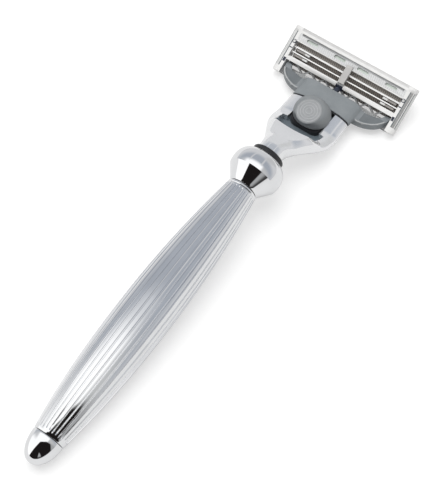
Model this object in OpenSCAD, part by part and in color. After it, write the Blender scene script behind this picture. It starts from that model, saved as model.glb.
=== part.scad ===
// Cartridge razor with a turned, fluted handle, a bent head and a pivoting three-blade unit.
// Lengths are in millimetres. The razor lies blade side down, +Y runs from the end cap to the
// blades, +X runs along the blades and +Z is up from the table.

/* [Handle] */
// Length of the domed end cap
cap_len = 7.8; // [7:0.1:10]
// Radius at the seam between end cap and barrel
seam_r = 4.69; // [4.4:0.01:5.2]
// Length of the fluted barrel
barrel_len = 86.9; // [80:0.1:95]
// Largest radius of the barrel
swell_r = 7.68; // [7:0.01:8.5]
// Radius of the barrel where it meets the bulb
ring_r = 4.55; // [4.3:0.01:5]
// Number of flutes round the barrel
flute_count = 30; // [20:1:36]
// Width of one flute
flute_w = 0.5; // [0.3:0.05:0.7]
// Depth of one flute
flute_depth = 0.3; // [0.2:0.05:0.5]
// Length of the plain band at each end of the flutes
band_len = 1.6; // [1:0.1:3]
// Largest radius of the bulb
bulb_r = 7.86; // [7:0.01:8.5]
// Length of the bulb
bulb_len = 10.9; // [10:0.1:13]
// Section radius of the rubber neck ring
seal_r = 0.9; // [0.7:0.05:1]

/* [Head] */
// Radius of the round neck
neck_r = 3.9; // [3.6:0.05:4.2]
// Length from the neck ring to the front rim
head_len = 24.9; // [24:0.1:26]
// Width of the head across the blades
head_w = 20.2; // [19.5:0.1:21]
// Drop of the head below the handle's axis
head_drop = 10.3; // [9.8:0.1:10.8]
// Downward slope of the front of the head
dock_slope = 8; // [6:0.5:9]
// Height of the front rim above its widest line
head_up = 2.65; // [2.5:0.05:2.8]
// Depth of the front rim below its widest line
head_down = 2.7; // [2.6:0.05:2.9]

/* [Release button] */
// Width of the button across the blades
button_w = 11.4; // [10.6:0.1:11.6]
// Length of the button
button_len = 9.6; // [9:0.1:9.8]
// Radius of the round thumb pad
pad_r = 3.75; // [3:0.05:3.8]
// Forward travel of the button
button_travel = 3; // [2:0.1:3]

/* [Cartridge] */
// Width over the end clips
cart_w = 43; // [42.6:0.1:43.4]
// Angle of the blade unit to the handle's axis at rest
cart_tilt = 23.6; // [22:0.1:25]
// Length of a blade
blade_len = 36.8; // [35:0.1:37]
// Distance from one blade to the next
blade_pitch = 1.64; // [1.6:0.01:1.66]
// Number of sprung blades
blade_count = 3; // [3:1:3]
// Angle through which the blade unit tips back
pivot_range = 42; // [30:1:42]

/* [Rest on the table] */
// Angle of the handle's axis to the table
rest_tilt = 5.04; // [4.8:0.01:5.4]

/* [Hidden] */
$fn = 48;

// Gap between fixed pieces, depth by which joined shapes sink into each other, and overrun of a cut
part_gap = 0.05;
sink = 0.1;
over = 1;

// Stations along the handle's axis, from the tip of the end cap
swell_share = 0.513;
swell_power = [2.4, 1.9];
dome_power = 2.4;
seam_step = 0.13;
seam_y = cap_len;
ring_y = seam_y + barrel_len;
bulb_end_y = ring_y + bulb_len;
neck_y = bulb_end_y + 2 * seal_r + 2 * part_gap;
head_y = neck_y + head_len;
swell_y = seam_y + swell_share * barrel_len;
barrel_steps = 12;
dome_steps = 10;
flute_runout = 0.8;
cone_y = ring_y + 5.4;
cone_step = 0.25;
wide_y = ring_y + 6.7;
bulb_end_r = 5;
bulb_arc_step = 10;

// Inner rod and its bores
rod_r = 1.5;
rod_fit = 0.02;
rod_room = 0.3;
rod_start_y = 3.6;
spigot_r = 2.5;
spigot_start_y = ring_y - 5.6;
rod_end_y = ring_y + 5;
stem_r = 3.1;

// Head: the bend runs over bend_y0 to bend_y1, the flare over bend_y0 to flare_y1
bend_y0 = neck_y + 1.1;
bend_y1 = neck_y + 19.6;
flare_y1 = neck_y + 15.6;
crease_y1 = neck_y + 13.6;
fade_y0 = crease_y1 + 1;
fade_y1 = head_y - 2;
rim_taper = 0.25;
slope_step = 0.1;
head_steps = 14;
section_points = 28;
oval_power = 2.2;
crease_share = 0.85;
dock_z = head_z(head_y);

// Pockets of the head, along the dock (s) and up from it (n)
pocket_half_w = 7.3;
pocket_floor_n = -1.5;
pocket_top_n = 1.5;
pocket_rear_s = -7.5;
window_half_w = 6.2;
window_rear_s = -11.2;
notch_half_w = 7.3;
notch_len = 2.5;
shelf_n = 0;

// Dock body: base in the pocket, flange at the rim, plug in the connector
flange_len = 0.6;
flange_inset = 0.2;
flange_half_w = head_half_w(head_y) - flange_inset;
flange_up = head_up - flange_inset;
flange_down = head_down - flange_inset;
plug_half_w = 6.4;
plug_floor_n = -1.5;
plug_top_n = 1.85;
plug_end_s = 4.8;
ridge_half_w = 1.6;
ridge_rear_s = -3.6;
plunger_r = 0.9;
plunger_bore_r = 0.95;
plunger_n = 0.5;
spring_seat_s = -3.2;
plunger_rear_s = 0.3;
plunger_tip_s = 9.2;
channel_x = 4.4;
channel_half_w = 0.7;
channel_s = [-7, -0.6];
channel_floor_n = -1.3;
track_n = [shelf_n + part_gap, 0.5];
track_slot_half_w = 0.55;

// Button and skirt
skirt_n = [0.56, 2.2];
skirt_rear_s = -9.1;
skirt_front_s = -3.2;
skirt_half_w = 5.2;
skirt_corner = 2.4;
skirt_room = 0.3;
skirt_channel_rear_s = -6.9;
lug_len = 0.8;
lug_rear_s = -6.95;
lug_room = 0.15;
lug_gap = 0.1;
button_s = -4.1;
button_floor_n = 2.25;
button_relief_n = 3.05;
button_relief_s = -3.4;
button_band = 1.6;
pad_s = -6.07;
pad_n = 6.4;
pad_tilt = 18;
pad_thick = 0.6;
pad_rim = 0.25;
pad_fit = 0.02;
pad_proud = 0.12;

// Coil springs
coil_sides = 6;
coil_rings = 8;
wire_r = 0.12;
coil_end = wire_r + 0.02;
plunger_coil = [0.72, 5];
button_coil = [0.5, 7];

// Connector
block_s = [flange_len + part_gap, 7.7];
block_half_w = head_half_w(head_y) + 0.1;
block_slope_s = 5;
block_front_n = 1.9;
socket_gap = 0.1;
socket_end_s = 5;
plunger_hole_r = 1.15;
arm_center = [9.8, 9.8];
arm_size = [8.5, 6.6];
arm_floor_n = -2.4;
arm_top_n = -0.45;
rim_top_n = 0;
rim_w = 0.6;
rim_end_s = 8;
arm_steps = 12;
arm_end_s = 10.3;
arm_inner_edge = [[16.6, arm_end_s], [16.2, 9.2], [15.2, 8.3], [12, 7.7], [8.5, 7.4], [8.5, 3.2]];
eye_r = 1.05;
eye_room = 0.3;
eye_x = [16.9, 18.45];
eye_well_x = 16;
journal_r = 0.6;
journal_end_x = 20;

// Blade unit, across the blades (v) and up from its back face (h)
cart_y = head_y + 7.46;
cart_z = -12.63;
pivot_v = 1.6;
pivot_h = -2.3;
near_v = -1.7;
far_v = 13.3;
clip_v = [0.05, 11.65];
end_r = 1.7;
end_x = cart_w / 2 - end_r;
end_root_x = 18.7;
clip_thick = 0.25;
clip_fit = 0.02;
clip_root_x = 19.75;
cap_beam_v = 8.9;
cap_floor_h = -3;
cap_lip_v = 12.4;
cap_lip_step = 0.4;
beam_half_w = end_root_x + sink;
slot_size = [4, 0.9];
slot_x = [4.05, 13.85];
slot_v = 10.4;
peg_gap = 0.05;
peg_top_h = -0.7;
groove_half_w = 17.9;
groove_v = [10.95, 11.6];
groove_deep = 0.3;
web_v = [7.75, cap_beam_v + sink];
web_h = [cap_floor_h, -2.7];
guard_v = [near_v, 1.2];
guard_h = [-3.9, -2.8];
beam_v = [2.75, 3.8];
beam_h = [-1, 0];
rib_half_w = 1;
rib_v = [3.75, 9.9];
rib_h = [-0.4, 0.5];
rib_foot = 0.4;
strut_count = 12;
strut_pitch = 2.55;
strut_lean = 40;
strut_sink = 0.3;
strut_w = 0.5;
bearing_r = 0.66;
bearing_end_x = 20.2;
strip_half_w = 17;
strip_v = [9.1, 11.5];
strip_h = [-3.95, cap_floor_h - 0.02];
fin_half_w = 16.5;
fin_count = 5;
fin_v0 = -0.95;
fin_pitch = 0.45;
fin_w = 0.22;
fin_top_h = -4.2;
fin_base_h = -4;
fin_sink = 0.02;

// Blades and their supports
first_leg_v = 3.98;
leg_h = [-2.85, -1];
leg_thick = 0.25;
leg_reach = 0.4;
leg_room = 0.12;
leg_end_room = 0.3;
leg_rise = 0.6;
platform_angle = 25;
platform_len = 1.3;
blade_thick = 0.12;
blade_fit = 0.01;
blade_span = [0.15, 2.05];
edge_bevel = 0.35;
finger_x = [13, 17.6];
finger_v = [-0.95, -0.35];
finger_h = [-2.25, -1.3];

// Plunger travel per radian of the pivot, and the ramp that it rides on
plunger_arm = 1.97;
ramp_gap = 0.25;
plunger_side_room = 0.35;
way_steps = 12;
cam_half_w = 1.1;
cam_v = [2.1, 3.7];
cam_h = [-1.5, -0.4];

// Outline of a smooth step from 0 to 1
function smooth(t) = let(c = min(1, max(0, t))) c * c * (3 - 2 * c);

// Radius of the barrel at station y
function barrel_r(y) =
  y < swell_y
    ? swell_r - (swell_r - seam_r) * pow((swell_y - y) / (swell_y - seam_y), swell_power[0])
    : swell_r - (swell_r - ring_r) * pow((y - swell_y) / (ring_y - swell_y), swell_power[1]);

// Radius of the end cap at station y
function dome_r(y) = seam_r * pow(1 - pow(1 - y / cap_len, dome_power), 1 / dome_power);

// Height of the head's widest line at station y
function head_z(y) =
  -head_drop * smooth((y - bend_y0) / (bend_y1 - bend_y0)) - tan(dock_slope) * max(0, y - bend_y1);

// Downward slope of the head's widest line at station y
function head_slope(y) = atan2(head_z(y - slope_step) - head_z(y + slope_step), 2 * slope_step);

// Half width of the head at station y
function head_half_w(y) =
  neck_r + (head_w / 2 - neck_r) * smooth((y - bend_y0) / (flare_y1 - bend_y0))
  - rim_taper * smooth((y - flare_y1) / (head_y - flare_y1));

// Height of the flat top face, and share of the width that it takes
function head_top(y) = neck_r + (head_up - neck_r) * smooth((y - bend_y0) / (crease_y1 - bend_y0));
function head_bottom(y) = neck_r + (head_down - neck_r) * smooth((y - bend_y0) / (crease_y1 - bend_y0));
function crease(y) =
  crease_share * smooth((y - neck_y) / (crease_y1 - neck_y))
  * (1 - smooth((y - fade_y0) / (fade_y1 - fade_y0)));

// Ranges set round a middle, or moved along
function around(mid, half) = [mid - half, mid + half];
function shifted(range, by) = [range[0] + by, range[1] + by];

function sgn_pow(v, p) = sign(v) * pow(abs(v), p);

// One closed oval outline with its top cut flat at height top
function oval(half_w, dome, bottom, top, count) = [
  for (i = [0:count - 1])
    let(a = -i * 360 / count, c = sgn_pow(cos(a), 2 / oval_power), s = sgn_pow(sin(a), 2 / oval_power))
      [half_w * c, min(top, s * (s > 0 ? dome : bottom))]
];

// The head's section at station y, set square to its bent centre line
function head_section(y) =
  let(
    top = head_top(y),
    dome = top / sqrt(1 - crease(y) * crease(y)),
    slope = head_slope(y)
  )
  [
    for (p = oval(head_half_w(y), dome, head_bottom(y), top, section_points))
      [p[0], y + p[1] * sin(slope), head_z(y) + p[1] * cos(slope)]
  ];

// Points on a coil's centre line, along +Y from start to end
function coil_line(r, turns, start, end) = [
  for (i = [0:turns * coil_rings])
    let(a = i * 360 / coil_rings, t = i / (turns * coil_rings))
      [r * cos(a), start + (end - start) * t, r * sin(a)]
];

// Least clear gap between neighbouring turns of a coil, measured on its points
function coil_gap(line) =
  min([for (i = [0:len(line) - 1 - coil_rings]) norm(line[i + coil_rings] - line[i])]) - 2 * wire_r;

// Places after the razor is laid on the table
function laid_y(y, z) = y * cos(rest_tilt) - z * sin(rest_tilt);
function laid_z(y, z) = y * sin(rest_tilt) + z * cos(rest_tilt);
function unit_y(v, h) = cart_y + v * cos(cart_tilt) - h * sin(cart_tilt);
function unit_z(v, h) = cart_z + v * sin(cart_tilt) + h * cos(cart_tilt);

barrel_line = [for (i = [0:barrel_steps]) seam_y + barrel_len * i / barrel_steps];
dome_line = [for (i = [0:dome_steps]) cap_len * (1 - cos(90 * i / dome_steps))];
lowest = min(
  min([for (y = barrel_line) laid_z(y, -barrel_r(y))]),
  laid_z(unit_y(near_v, guard_h[0]), unit_z(near_v, guard_h[0]))
);
rearmost = min([for (y = dome_line) laid_y(y, dome_r(y))]);
foremost = laid_y(unit_y(far_v, cap_floor_h), unit_z(far_v, cap_floor_h));

// Frames: the table, the handle's axis, the dock and the blade unit
module lay() {
  translate([0, -(rearmost + foremost) / 2, -lowest]) rotate([rest_tilt, 0, 0]) children();
}

module on_axis() {
  rotate([-90, 0, 0]) children();
}

module dock() {
  translate([0, head_y, dock_z]) rotate([-dock_slope, 0, 0]) children();
}

module unit() {
  translate([0, cart_y, cart_z]) rotate([cart_tilt, 0, 0]) children();
}

// A box from its two ranges and its half width
module slab(half_w, y, z) {
  translate([-half_w, y[0], z[0]]) cube([2 * half_w, y[1] - y[0], z[1] - z[0]]);
}

module block(x, y, z) {
  translate([x[0], y[0], z[0]]) cube([x[1] - x[0], y[1] - y[0], z[1] - z[0]]);
}

module both_sides() {
  children();
  mirror([1, 0, 0]) children();
}

// A prism along +Y from an outline in X and Z
module along_y(y) {
  translate([0, y[1], 0]) rotate([90, 0, 0]) linear_extrude(y[1] - y[0]) children();
}

// A prism along +X from an outline in Y and Z
module along_x(x) {
  translate([x[0], 0, 0]) rotate([90, 0, 90]) linear_extrude(x[1] - x[0]) children();
}

module rod(r, y) {
  translate([0, y[0], 0]) on_axis() cylinder(r = r, h = y[1] - y[0]);
}

// A closed solid through a list of equal outlines
module loft(sections) {
  n = len(sections[0]);
  m = len(sections);
  last = (m - 1) * n;
  polyhedron(
    points = [for (s = sections) each s],
    faces = concat(
      [for (i = [1:n - 2]) [0, i, i + 1]],
      [for (i = [1:n - 2]) [last, last + i + 1, last + i]],
      [
        for (j = [0:m - 2], i = [0:n - 1])
          let(a = j * n + i, b = j * n + (i + 1) % n)
            each [[a, a + n, b], [b, a + n, b + n]]
      ]
    )
  );
}

// One unbroken wire along a coil
module coil(r, turns, start, end) {
  line = coil_line(r, turns, start, end);
  echo(least_coil_gap = coil_gap(line));
  loft([
    for (i = [0:len(line) - 1])
      let(a = i * 360 / coil_rings, out = [cos(a), 0, sin(a)])
        [
          for (k = [0:coil_sides - 1])
            let(w = k * 360 / coil_sides) line[i] + wire_r * (cos(w) * out + sin(w) * [0, 1, 0])
        ]
  ]);
}

module end_cap() {
  color("silver") lay() difference() {
    on_axis() rotate_extrude() polygon([
      [0, 0],
      for (y = dome_line) [dome_r(y), y],
      [0, cap_len]
    ]);
    rod(rod_r + rod_fit, [rod_start_y, cap_len + over]);
  }
}

module flute() {
  start = seam_y + band_len;
  end = ring_y - band_len;
  line = [for (i = [0:barrel_steps]) start + (end - start) * i / barrel_steps];
  rotate([90, 0, 0]) linear_extrude(flute_w, center = true) polygon([
    [barrel_r(start - flute_runout) + sink, start - flute_runout],
    for (y = line) [barrel_r(y) - flute_depth, y],
    [barrel_r(end + flute_runout) + sink, end + flute_runout],
    [swell_r + over, end + flute_runout],
    [swell_r + over, start - flute_runout]
  ]);
}

module handle_barrel() {
  color("silver") lay() difference() {
    on_axis() difference() {
      rotate_extrude() polygon([
        [0, seam_y + part_gap],
        [seam_r - seam_step, seam_y + part_gap],
        for (i = [1:barrel_steps]) [barrel_r(barrel_line[i]), barrel_line[i]],
        [0, ring_y]
      ]);
      for (i = [0:flute_count - 1]) rotate(i * 360 / flute_count) flute();
    }
    rod(rod_r + rod_room, [seam_y - over, ring_y]);
    rod(spigot_r + rod_fit, [spigot_start_y - rod_room, ring_y + over]);
  }
}

module tie_rod() {
  color("gray") lay() rod(rod_r, [rod_start_y + part_gap, rod_end_y]);
}

module neck_bulb() {
  color("silver") lay() difference() {
    on_axis() rotate_extrude() polygon([
      [0, ring_y + part_gap],
      [ring_r - seam_step, ring_y + part_gap],
      [bulb_r - cone_step, cone_y],
      for (a = [0:bulb_arc_step:90])
        [bulb_end_r + (bulb_r - bulb_end_r) * cos(a), wide_y + (bulb_end_y - wide_y) * sin(a)],
      [0, bulb_end_y]
    ]);
    rod(spigot_r + rod_fit, [ring_y - over, bulb_end_y + over]);
  }
}

module neck_seal() {
  color("dimgray") lay() translate([0, bulb_end_y + seal_r + part_gap, 0]) on_axis()
    rotate_extrude() translate([stem_r + seal_r + part_gap, 0]) circle(r = seal_r);
}

module head_yoke() {
  color("gainsboro") lay() difference() {
    union() {
      loft([for (i = [0:head_steps]) head_section(neck_y + head_len * i / head_steps)]);
      rod(stem_r, [bulb_end_y + part_gap, neck_y + over]);
      rod(spigot_r, [spigot_start_y, bulb_end_y + over]);
    }
    rod(rod_r + rod_fit, [spigot_start_y - over, rod_end_y + rod_room]);
    dock() {
      slab(pocket_half_w, [pocket_rear_s, over], [pocket_floor_n, pocket_top_n]);
      slab(window_half_w, [window_rear_s, over], [shelf_n, head_drop]);
      slab(notch_half_w, [window_rear_s, window_rear_s + notch_len], [shelf_n, head_drop]);
    }
  }
}

module dock_body() {
  color("black") lay() dock() difference() {
    union() {
      slab(pocket_half_w - part_gap, [pocket_rear_s + part_gap, 0], [pocket_floor_n + part_gap, shelf_n]);
      slab(ridge_half_w, [ridge_rear_s, 0], [shelf_n, plug_top_n]);
      along_y([part_gap, flange_len])
        polygon(oval(flange_half_w, flange_up, flange_down, head_up, section_points));
      slab(pocket_half_w - part_gap, around(0, sink), [pocket_floor_n + part_gap, shelf_n]);
      slab(plug_half_w, [0, plug_end_s], [plug_floor_n, plug_top_n]);
    }
    translate([0, 0, plunger_n]) rod(plunger_bore_r, [spring_seat_s, plug_end_s + over]);
    both_sides() block(
      around(channel_x, channel_half_w),
      channel_s,
      [channel_floor_n, shelf_n + over]
    );
  }
}

module button_track() {
  color("slategray") lay() dock() difference() {
    union() {
      slab(window_half_w - part_gap, [window_rear_s + part_gap, -part_gap], track_n);
      slab(
        notch_half_w - part_gap,
        [window_rear_s + part_gap, window_rear_s + notch_len - part_gap],
        track_n
      );
    }
    slab(ridge_half_w + part_gap, [ridge_rear_s - part_gap, over], around(0, over));
    both_sides() block(
      around(channel_x, track_slot_half_w),
      [lug_rear_s - lug_room, lug_rear_s + lug_len + button_travel + lug_room],
      around(0, over)
    );
  }
}

module plunger_spring() {
  color("darkgray") lay() dock() translate([0, 0, plunger_n])
    coil(plunger_coil[0], plunger_coil[1], spring_seat_s + coil_end, plunger_rear_s - coil_end);
}

module button_springs() {
  start = lug_rear_s + lug_len + coil_end;
  end = channel_s[1] - coil_end;
  color("darkgray") lay() dock() both_sides() translate([channel_x, 0, (channel_floor_n + shelf_n) / 2])
    coil(button_coil[0], button_coil[1], start, end);
}

module button_oval(half_w, half_len) {
  scale_to = half_len / half_w;
  polygon([for (p = oval(half_w, half_w, half_w, half_w, section_points)) [p[0], p[1] * scale_to]]);
}

module pad_frame() {
  translate([0, pad_s, pad_n]) rotate([pad_tilt, 0, 0]) children();
}

module release_button() {
  color("gray") lay() dock() difference() {
    hull() {
      translate([0, button_s, button_floor_n]) linear_extrude(button_band)
        button_oval(button_w / 2, button_len / 2);
      pad_frame() translate([0, 0, -pad_rim]) cylinder(r = pad_r + pad_rim, h = pad_rim, $fn = 32);
    }
    slab(button_w, [button_relief_s, button_relief_s + button_len], [0, button_relief_n]);
    pad_frame() translate([0, 0, -pad_thick]) cylinder(r = pad_r + pad_fit, h = pad_thick + over);
  }
}

module button_pad() {
  color("lightgray") lay() dock() pad_frame() translate([0, 0, pad_fit - pad_thick])
    cylinder(r = pad_r, h = pad_thick - pad_fit + pad_proud);
}

module button_skirt() {
  corner = skirt_corner;
  color("black") lay() dock() difference() {
    union() {
      translate([0, 0, skirt_n[0]]) linear_extrude(skirt_n[1] - skirt_n[0]) union() {
        translate([-skirt_half_w, skirt_rear_s + corner])
          square([2 * skirt_half_w, skirt_front_s - skirt_rear_s - corner]);
        translate([corner - skirt_half_w, skirt_rear_s])
          square([2 * (skirt_half_w - corner), corner + sink]);
        for (side = [-1, 1])
          translate([side * (skirt_half_w - corner), skirt_rear_s + corner]) circle(r = corner);
      }
      both_sides() block(
        around(channel_x, track_slot_half_w - lug_gap),
        [lug_rear_s, lug_rear_s + lug_len],
        [channel_floor_n + lug_gap, skirt_n[0] + sink]
      );
    }
    slab(ridge_half_w + skirt_room, [skirt_channel_rear_s, over], [0, skirt_n[1] + over]);
  }
}

module plunger() {
  color("midnightblue") lay() dock() translate([0, 0, plunger_n]) {
    rod(plunger_r, [plunger_rear_s, plunger_tip_s]);
    translate([0, plunger_tip_s, 0]) sphere(r = plunger_r);
  }
}

// One arm of the connector, seen along the dock's normal
function arm_edge(inset) = [
  for (i = [0:arm_steps])
    let(a = 90 * i / arm_steps)
      [
        arm_center[0] + (arm_size[0] - inset) * sin(a),
        arm_center[1] - (arm_size[1] - inset) * cos(a)
      ]
];

module arm() {
  translate([0, 0, arm_floor_n]) linear_extrude(arm_top_n - arm_floor_n)
    polygon(concat(arm_edge(0), [[arm_center[0] + arm_size[0], arm_end_s]], arm_inner_edge));
  difference() {
    translate([0, 0, arm_floor_n]) linear_extrude(rim_top_n - arm_floor_n)
      polygon(concat(arm_edge(0), [for (i = [arm_steps:-1:0]) arm_edge(rim_w)[i]]));
    slab(cart_w, [rim_end_s, 2 * rim_end_s], [arm_top_n, over]);
  }
}

module connector() {
  slope_run = block_s[1] - block_slope_s;
  color("gray") lay() {
    dock() difference() {
      union() {
        along_y(block_s)
          polygon(oval(block_half_w, head_up, head_down, head_up, section_points));
        both_sides() arm();
      }
      translate([0, block_slope_s, head_up]) rotate([-atan2(head_up - block_front_n, slope_run), 0, 0])
        slab(cart_w, [0, 2 * slope_run], [0, 2 * over]);
      slab(plug_half_w + socket_gap, [0, socket_end_s],
        [plug_floor_n - socket_gap, plug_top_n + socket_gap]);
      translate([0, 0, plunger_n]) rod(plunger_hole_r, [0, 2 * block_s[1]]);
    }
    unit() both_sides() translate([0, pivot_v, pivot_h]) rotate([0, 90, 0]) {
      translate([0, 0, eye_x[0]]) cylinder(r = eye_r, h = eye_x[1] - eye_x[0]);
      translate([0, 0, eye_x[0]]) cylinder(r = journal_r, h = journal_end_x - eye_x[0]);
    }
  }
}

// Rounded end of the blade unit, in X and height
module end_outline(inset, root_x) {
  intersection() {
    union() {
      translate([end_x, -end_r]) circle(r = end_r - inset);
      translate([root_x, inset - 2 * end_r]) square([end_x - root_x, 2 * (end_r - inset)]);
    }
    translate([root_x, -3 * end_r]) square([cart_w, 4 * end_r]);
  }
}

module end_block() {
  along_y([near_v, clip_v[0]]) end_outline(0, end_root_x);
  along_y(clip_v) end_outline(clip_thick + clip_fit, end_root_x);
  along_y(clip_v) intersection() {
    end_outline(0, end_root_x);
    translate([end_root_x, -3 * end_r]) square([clip_root_x - clip_fit - end_root_x, 4 * end_r]);
  }
  along_y([clip_v[1], far_v]) end_outline(0, end_root_x);
}

module strut(i) {
  run_v = beam_v[0] - guard_v[1] + 2 * strut_sink;
  run_h = beam_h[0] - guard_h[1] + 2 * strut_sink;
  lean = (i % 2 == 0 ? 1 : -1) * strut_lean;
  x = (i - (strut_count - 1) / 2) * strut_pitch;
  translate([x, (guard_v[1] + beam_v[0]) / 2, (guard_h[1] + beam_h[0]) / 2])
    rotate([atan2(run_h, run_v), 0, 0]) rotate([0, 0, lean])
      cube([strut_w, norm([run_v, run_h]) / cos(lean), strut_w], center = true);
}

// The ramp under the plunger: clear of the tip at every angle of the pivot
function tip_path(turn) =
  let(
    s = plunger_tip_s - plunger_arm * turn * PI / 180,
    y = head_y + s * cos(dock_slope) + plunger_n * sin(dock_slope) - cart_y,
    z = dock_z - s * sin(dock_slope) + plunger_n * cos(dock_slope) - cart_z,
    v = y * cos(cart_tilt) + z * sin(cart_tilt) - pivot_v,
    h = -y * sin(cart_tilt) + z * cos(cart_tilt) - pivot_h
  )
  [pivot_v + v * cos(turn) + h * sin(turn), pivot_h - v * sin(turn) + h * cos(turn)];

module plunger_way() {
  along_x(around(0, plunger_r + plunger_side_room))
    for (turn = [0:pivot_range / way_steps:pivot_range])
      translate(tip_path(turn)) circle(r = plunger_r + ramp_gap);
}

// One slot of the cap beam, or inset from it the peg of the strip that fills it
module slot_outline(inset) {
  width = slot_size[1] - 2 * inset;
  span = slot_size[0] - slot_size[1];
  square([span, width], center = true);
  for (e = [-1, 1]) translate([e * span / 2, 0]) circle(d = width);
}

module cartridge_housing() {
  color("whitesmoke") lay() unit() difference() {
    union() {
      both_sides() end_block();
      slab(beam_half_w, [cap_beam_v, cap_lip_v], [cap_floor_h, 0]);
      slab(beam_half_w, [cap_lip_v, far_v], [cap_floor_h, -cap_lip_step]);
      slab(beam_half_w, web_v, web_h);
      slab(beam_half_w, guard_v, guard_h);
      slab(beam_half_w, beam_v, beam_h);
      slab(cam_half_w, cam_v, cam_h);
      slab(rib_half_w, [rib_v[0], cap_beam_v], rib_h);
      slab(rib_half_w, [beam_v[1] - rib_foot, rib_v[0] + rib_foot], [beam_h[0], rib_h[1]]);
      slab(rib_half_w, [cap_beam_v - sink, rib_v[1]], rib_h);
      for (i = [0:strut_count - 1]) strut(i);
    }
    plunger_way();
    slab(groove_half_w, groove_v, [-groove_deep, over]);
    for (x = slot_x, side = [-1, 1]) translate([side * x, slot_v, cap_floor_h - over])
      linear_extrude(2 * over - cap_floor_h) slot_outline(0);
    both_sides() translate([0, pivot_v, pivot_h]) rotate([0, 90, 0]) {
      translate([0, 0, eye_x[0]]) cylinder(r = bearing_r, h = bearing_end_x - eye_x[0]);
      translate([0, 0, eye_well_x]) cylinder(r = eye_r + eye_room, h = end_root_x - eye_well_x);
    }
    for (i = [0:blade_count - 1]) slab(
      blade_len / 2 + leg_reach + leg_end_room,
      around(leg_v(i), leg_thick / 2 + leg_room),
      [-2 * end_r - over, leg_h[1] + leg_rise]
    );
  }
}

module clip() {
  along_y(clip_v) difference() {
    end_outline(0, clip_root_x);
    end_outline(clip_thick, clip_root_x - over);
  }
}

module clip_right() {
  color("lightsteelblue") lay() unit() clip();
}

module clip_left() {
  color("lightsteelblue") lay() unit() mirror([1, 0, 0]) clip();
}

module lubricating_strip() {
  color("honeydew") lay() unit() {
    slab(strip_half_w, strip_v, strip_h);
    for (x = slot_x, side = [-1, 1]) translate([side * x, slot_v, strip_h[1] - sink])
      linear_extrude(peg_top_h - strip_h[1] + sink) slot_outline(peg_gap);
  }
}

module guard_fins() {
  color("lightgray") lay() unit() {
    slab(
      fin_half_w,
      [fin_v0 - fin_w, fin_v0 + fin_count * fin_pitch],
      [fin_base_h, guard_h[0] - blade_fit]
    );
    for (i = [0:fin_count - 1]) slab(
      fin_half_w,
      shifted([0, fin_w], fin_v0 + i * fin_pitch),
      [fin_top_h, fin_base_h + fin_sink]
    );
  }
}

// Where the upright leg of a blade support stands
function leg_v(i) = first_leg_v + i * blade_pitch;

module blade_springs() {
  color("white") lay() unit() for (i = [0:blade_count - 1]) both_sides()
    block(finger_x, shifted(finger_v, leg_v(i)), finger_h);
}

// Frame of a blade's sloping platform, +Y towards the cutting edge
module on_platform(i) {
  translate([0, leg_v(i), leg_h[0]]) rotate([platform_angle, 0, 0]) mirror([0, 1, 0]) children();
}

module blade_support(i) {
  color("silver") lay() unit() {
    slab(blade_len / 2 + leg_reach, around(leg_v(i), leg_thick / 2), leg_h);
    on_platform(i) slab(blade_len / 2, [-leg_thick / 2, platform_len], [0, leg_thick]);
  }
}

module blade(i) {
  color("gainsboro") lay() unit() on_platform(i) along_x(around(0, blade_len / 2)) polygon([
    [blade_span[0], -blade_fit],
    [blade_span[0], -blade_fit - blade_thick],
    [blade_span[1] - edge_bevel, -blade_fit - blade_thick],
    [blade_span[1], -blade_fit - blade_thick / 2],
    [blade_span[1] - edge_bevel, -blade_fit]
  ]);
}

end_cap();
handle_barrel();
tie_rod();
neck_bulb();
neck_seal();
head_yoke();
dock_body();
button_track();
plunger_spring();
button_springs();
release_button();
button_pad();
button_skirt();
plunger();
connector();
cartridge_housing();
clip_left();
clip_right();
lubricating_strip();
guard_fins();
blade_springs();
blade(0);  // blade_1
blade(1);  // blade_2
blade(2);  // blade_3
blade_support(0);  // blade_support_1
blade_support(1);  // blade_support_2
blade_support(2);  // blade_support_3
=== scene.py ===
import math

import bmesh
import bpy
from mathutils import Matrix, Vector


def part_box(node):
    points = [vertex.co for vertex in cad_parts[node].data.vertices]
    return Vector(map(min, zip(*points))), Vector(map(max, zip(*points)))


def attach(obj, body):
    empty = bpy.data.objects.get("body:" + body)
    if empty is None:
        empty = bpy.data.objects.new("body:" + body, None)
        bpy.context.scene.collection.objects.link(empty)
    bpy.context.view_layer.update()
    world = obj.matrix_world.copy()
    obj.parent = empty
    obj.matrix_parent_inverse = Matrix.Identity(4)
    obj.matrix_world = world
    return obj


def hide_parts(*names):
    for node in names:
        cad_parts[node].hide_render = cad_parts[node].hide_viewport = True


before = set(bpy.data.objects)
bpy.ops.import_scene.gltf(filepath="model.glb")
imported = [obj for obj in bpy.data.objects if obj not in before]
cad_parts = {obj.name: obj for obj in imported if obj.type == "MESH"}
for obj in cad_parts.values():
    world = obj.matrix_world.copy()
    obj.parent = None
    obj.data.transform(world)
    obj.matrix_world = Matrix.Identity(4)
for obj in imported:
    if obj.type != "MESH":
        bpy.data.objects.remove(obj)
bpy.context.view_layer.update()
scene = bpy.context.scene

# Driving sizes in millimetres and degrees, along the handle's axis from the tip of the end cap
MM = 0.001
REST_TILT = 5.04
PART_GAP = 0.05

# End cap and fluted barrel
CAP_LEN = 7.8
CAP_POWER = 2.1
SEAM_R = 4.69
BARREL_LEN = 86.9
SWELL_R = 7.68
SWELL_SHARE = 0.513
SWELL_POWER = (2.4, 1.9)
RING_R = 4.55
FLUTES = 30
FLUTE_W = 0.5
FLUTE_DEPTH = 0.3
FLUTE_RUNOUT = 0.7
LAND_LEAN = 0.014
BAND_LEN = 1.6

# Bulb, rubber ring and neck
BULB_R = 7.86
BULB_LEN = 10.9
BULB_END_R = 5
SEAL_R = 0.9
NECK_R = 3.9

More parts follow.
